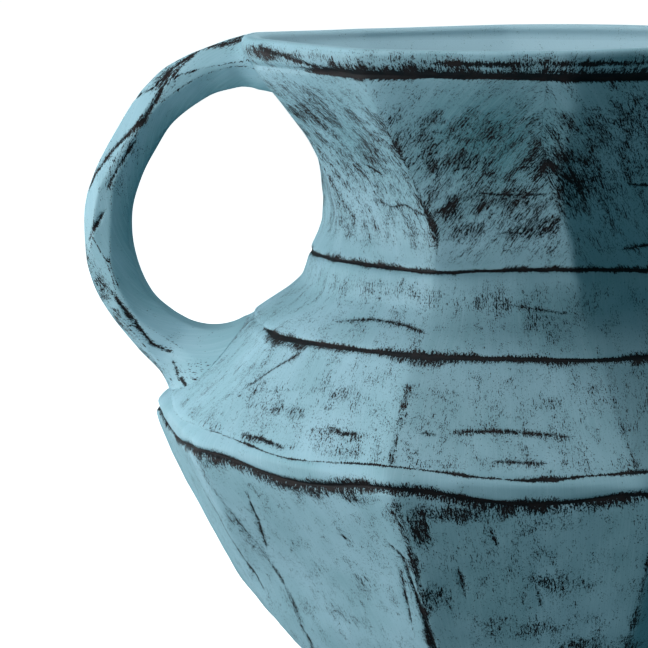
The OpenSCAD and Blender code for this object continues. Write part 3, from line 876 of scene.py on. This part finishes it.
class Nodes:
    """Short names for the few kinds of shader node used here."""

    def __init__(self, name):
        self.material = bpy.data.materials.new(name)
        self.material.use_nodes = True
        self.tree = self.material.node_tree
        self.shader = self.tree.nodes["Principled BSDF"]

    def put(self, kind, **settings):
        node = self.tree.nodes.new(kind)
        for key, value in settings.items():
            setattr(node, key, value)
        return node

    def plug(self, socket, value):
        if isinstance(value, bpy.types.NodeSocket):
            self.tree.links.new(value, socket)
        else:
            socket.default_value = value

    def set(self, **inputs):
        for key, value in inputs.items():
            self.plug(self.shader.inputs[key.replace("_", " ")], value)

    def attribute(self, name, output="Fac"):
        return self.put("ShaderNodeAttribute", attribute_name=name).outputs[output]

    def math(self, operation, a, b=0.0):
        node = self.put("ShaderNodeMath", operation=operation)
        self.plug(node.inputs[0], a)
        self.plug(node.inputs[1], b)
        return node.outputs[0]

    def scaled(self, vector, scale):
        node = self.put("ShaderNodeVectorMath", operation="MULTIPLY")
        self.plug(node.inputs[0], vector)
        self.plug(node.inputs[1], scale)
        return node.outputs[0]

    def noise(self, vector, across, along_stroke, detail=2.0, roughness=0.5):
        """Noise with marks about 1 / across wide and 1 / along_stroke long, in mm."""
        node = self.put("ShaderNodeTexNoise")
        self.plug(node.inputs["Vector"], self.scaled(vector, (across, across, along_stroke)))
        node.inputs["Scale"].default_value = 1.0
        node.inputs["Detail"].default_value = detail
        node.inputs["Roughness"].default_value = roughness
        return node.outputs["Fac"]

    def ramp(self, value, low, high, to_low=0.0, to_high=1.0):
        node = self.put("ShaderNodeMapRange", clamp=True)
        for socket, v in zip(node.inputs, (value, low, high, to_low, to_high)):
            self.plug(socket, v)
        return node.outputs[0]

    def mix(self, share, a, b):
        node = self.put("ShaderNodeMix", data_type="RGBA")
        self.plug(node.inputs[0], share)
        self.plug(node.inputs[6], a)
        self.plug(node.inputs[7], b)
        return node.outputs[2]

    def bump(self, height, strength, distance):
        node = self.put("ShaderNodeBump")
        node.inputs["Strength"].default_value = strength
        node.inputs["Distance"].default_value = distance
        self.plug(node.inputs["Height"], height)
        return node.outputs["Normal"]


# Colours of the paint as it lies thick and deep; a dark teal for thin paint and painted shade; a paler coat,
# which is painted light inside the mouth; and the slip under it
PAINT = (0.30, 0.485, 0.57, 1)
PAINT_DEEP = (0.235, 0.41, 0.475, 1)
PAINT_THIN_AND_SHADE = (0.055, 0.215, 0.25, 1)
PAINT_LIGHT = (0.37, 0.55, 0.63, 1)
BARE = (0.006, 0.008, 0.010, 1)
BARE_WARM = (0.015, 0.012, 0.013, 1)
# Colours of the fired clay, and of the grog in it
CLAY_DARK = (0.10, 0.075, 0.06, 1)
CLAY = (0.17, 0.13, 0.10, 1)
GROG = (0.25, 0.21, 0.17, 1)


def distressed_paint():
    """Matte blue paint dragged over a near-black slip, which shows where the bareness is high."""
    n = Nodes("distressed_paint")
    brush = n.attribute("brush", "Vector")
    bare = n.attribute("bare")
    # Marks of every size: specks, longer hatching that shows where much is worn, breaks, clumps and washes
    specks = n.noise(brush, 2.3, 1.2, 3.0, 0.72)
    hatching = n.noise(brush, 1.6, 0.36, 3.0, 0.72)
    strokes = n.math("MAXIMUM", specks, n.math("SUBTRACT", hatching, n.ramp(bare, 0.05, 0.4, 0.06, -0.01)))
    breaks = n.noise(brush, 0.6, 0.45, 2.0)
    clumps = n.noise(brush, 0.17, 0.11, 2.0, 0.6)
    washes = n.noise(brush, 0.035, 0.03)
    bristles = n.noise(brush, 1.7, 0.06)

    # Paint is gone where the strokes rise above a level that sinks as bareness grows
    wear = n.math("ADD", bare, n.ramp(clumps, 0.38, 0.66, -0.10, 0.13))
    depth = n.math("SUBTRACT", strokes, n.ramp(wear, 0.0, 1.0, 0.695, 0.27))
    worn = n.ramp(depth, -0.006, 0.012)
    # Scored lines, with wobbling edges and gaps
    wobble = n.math("MULTIPLY", n.math("SUBTRACT", specks, 0.5), 4.0)
    from_line = n.math("ABSOLUTE", n.math("ADD", n.attribute("line"), wobble))
    line_half = n.math("MULTIPLY", n.attribute("line_half"), n.ramp(breaks, 0.36, 0.56, 0.2, 1.4))
    scored = n.ramp(n.math("SUBTRACT", line_half, from_line), -0.08, 0.10)
    worn = n.math("MAXIMUM", worn, scored)
    nearly_worn = n.ramp(depth, -0.06, 0.0)

    colour = n.mix(n.ramp(washes, 0.35, 0.65), PAINT_DEEP, PAINT)
    # Above 0 this attribute darkens the paint to teal: thin paint, and painted shade on the front facets and
    # the handles' insides. Below 0 it pales the coat inside the mouth, which is painted light
    thinness_and_painted_light = n.attribute("thin_and_painted_light")
    streaky_thin_and_shade = n.math("MULTIPLY", thinness_and_painted_light, n.ramp(clumps, 0.3, 0.7, 0.75, 0.95))
    colour = n.mix(streaky_thin_and_shade, colour, PAINT_THIN_AND_SHADE)
    # Painted light: the paler coat inside the mouth stands for the light that falls in there
    colour = n.mix(n.ramp(thinness_and_painted_light, 0.0, -1.0), colour, PAINT_LIGHT)
    colour = n.mix(n.ramp(bristles, 0.45, 0.72, 0.0, 0.3), colour, PAINT_LIGHT)
    colour = n.mix(n.math("MULTIPLY", nearly_worn, 0.4), colour, PAINT_DEEP)
    colour = n.mix(worn, colour, n.mix(n.ramp(clumps, 0.42, 0.62), BARE, BARE_WARM))
    height = n.math("SUBTRACT", n.math("MULTIPLY", bristles, 0.35), worn)
    n.set(Base_Color=colour, Roughness=n.ramp(worn, 0, 1, 0.62, 0.55),
          Specular_IOR_Level=n.ramp(worn, 0, 1, 0.3, 0.12),
          Normal=n.bump(height, 0.5, 0.25 * MM))
    return n.material


def bare_clay():
    """Fired clay with fine grog, darker where hands have pressed it."""
    n = Nodes("bare_clay")
    place = n.attribute("brush", "Vector")
    grain = n.noise(place, 1.4, 1.4, 3.0, 0.6)
    patches = n.noise(place, 0.06, 0.06, 3.0, 0.55)
    colour = n.mix(n.ramp(patches, 0.35, 0.65), CLAY_DARK, CLAY)
    colour = n.mix(n.ramp(grain, 0.58, 0.7), colour, GROG)
    n.set(Base_Color=colour, Roughness=n.ramp(grain, 0.3, 0.7, 0.75, 0.9), Specular_IOR_Level=0.25,
          Normal=n.bump(grain, 0.5, 0.2 * MM))
    return n.material


# ---------------------------------------------------------------------------------------------------
# Light, floor and camera
# ---------------------------------------------------------------------------------------------------

# The lamps, as (name, place from the middle of the vase in metres, width, watts)
LAMPS = [
    ("side", (-0.92, -0.42, 0.14), 0.5, 6.6),
    ("top", (-0.30, 0.0, 1.25), 0.9, 11),
    ("low_fill", (-0.52, -0.50, -0.13), 0.3, 0.8),
    ("far_fill", (0.95, 0.60, 0.35), 0.6, 5),
    ("low_edge", (-0.75, 0.25, -0.06), 0.3, 1.4),
]
SKY = (0.35, 0.95, 1.1, 1)
SKY_STRENGTH = 0.12

# The camera's place and what it looks at, in drawn millimetres, and its lens
CAMERA_PLACE = (0, -965, 352)
CAMERA_AIM = (-84.2, 0, 187)
CAMERA_LENS = 127
CAMERA_SENSOR = 36

# The cove in metres: its half width, the radius of its bend up into the wall, and the wall's height
COVE_HALF, COVE_BEND, COVE_WALL = 12.0, 4.0, 16.0


def add_pointing(name, data, place, target):
    """An object at place that looks at the target, such as a lamp or a camera."""
    thing = bpy.data.objects.new(name, data)
    thing.location = place
    thing.rotation_mode = "QUATERNION"
    thing.rotation_quaternion = (target - place).to_track_quat("-Z", "Y")
    bpy.context.scene.collection.objects.link(thing)
    return thing


def studio_light():
    """A dim teal sky and five round lamps."""
    world = bpy.data.worlds.new("studio")
    world.use_nodes = True
    sky = world.node_tree.nodes["Background"]
    sky.inputs["Color"].default_value = SKY
    sky.inputs["Strength"].default_value = SKY_STRENGTH
    bpy.context.scene.world = world
    bpy.context.scene.view_settings.view_transform = "Standard"
    middle = (CAD_BOX[0] + CAD_BOX[1]) / 2
    for name, offset, width, watts in LAMPS:
        data = bpy.data.lights.new(name, "AREA")
        data.shape = "DISK"
        data.size = width
        data.energy = watts
        add_pointing(name, data, middle + Vector(offset), middle)


def photo_camera():
    """The camera in front of the vase, a little above its lip."""
    data = bpy.data.cameras.new("camera")
    data.lens = CAMERA_LENS
    data.sensor_width = CAMERA_SENSOR
    camera = add_pointing("camera", data, Vector(CAMERA_PLACE) * MM, Vector(CAMERA_AIM) * MM)
    bpy.context.scene.camera = camera


def pale_cove():
    """A wide pale floor under the foot that curves up far away into a wall, a little bright in itself."""
    columns, floor_rings, bend_steps = 96, 24, 8
    turn = np.radians(np.linspace(0, 90, bend_steps + 1))[1:]
    bend_start = COVE_HALF - COVE_BEND
    r = np.concatenate([np.linspace(0.5, bend_start, floor_rings), bend_start + COVE_BEND * np.sin(turn),
                        [COVE_HALF]])
    z = np.concatenate([np.zeros(floor_rings), COVE_BEND - COVE_BEND * np.cos(turn), [COVE_WALL]])
    angle = np.arange(columns) / columns * 2 * math.pi
    r, z, angle = np.broadcast_arrays(r[:, None], z[:, None] + CAD_BOX[0].z, angle[None, :])
    faces = grid_faces(*r.shape, closed_rows=False) + [list(range(columns))]
    mesh = bpy.data.meshes.new("floor")
    mesh.from_pydata(on_body(r, angle, z).reshape(-1, 3).tolist(), [], faces)
    white = Nodes("pale_floor")
    white.set(Base_Color=(0.9, 0.9, 0.9, 1), Roughness=0.9,
              Emission_Color=(1, 1, 1, 1), Emission_Strength=1.0)
    mesh.materials.append(white.material)
    cove = bpy.data.objects.new("floor", mesh)
    bpy.context.scene.collection.objects.link(cove)
    # It lights and shades nothing, so the vase is lit by the lamps and the sky alone
    cove.visible_diffuse = False
    cove.visible_glossy = False
    cove.visible_shadow = False


# ---------------------------------------------------------------------------------------------------
# The vase
# ---------------------------------------------------------------------------------------------------

# The rings, as (name, seam below, seam above, columns, fine and coarse distance of rows, brush radius)
RINGS = [
    ("lower_belly", FOOT_TOP, BELLY_JOINT, 600, 0.6, 1.5, 85),
    ("upper_belly", BELLY_JOINT, RIDGE, 720, 0.4, 1.3, 135),
    ("shoulder_band", RIDGE, SLIP_SEAM, 900, 0.3, 0.6, 153),
    ("shoulder_ring", SLIP_SEAM, SHOULDER_TOP, 840, 0.35, 0.9, 135),
    ("collar_ring", SHOULDER_TOP, COLLAR_TOP, 780, 0.3, 0.8, 100),
    ("neck", COLLAR_TOP, LIP_BASE, 720, 0.4, 0.9, 95),
    ("lip_ring", LIP_BASE, None, 780, 0.3, 0.5, 118),
]

studio_light()
photo_camera()
pale_cove()
paint = distressed_paint()
for ring in RINGS:
    ring_piece(*ring, paint)
handle_piece("left_handle", -1, paint)
handle_piece("right_handle", 1, paint)
foot_ring(paint)
base_disc(bare_clay())
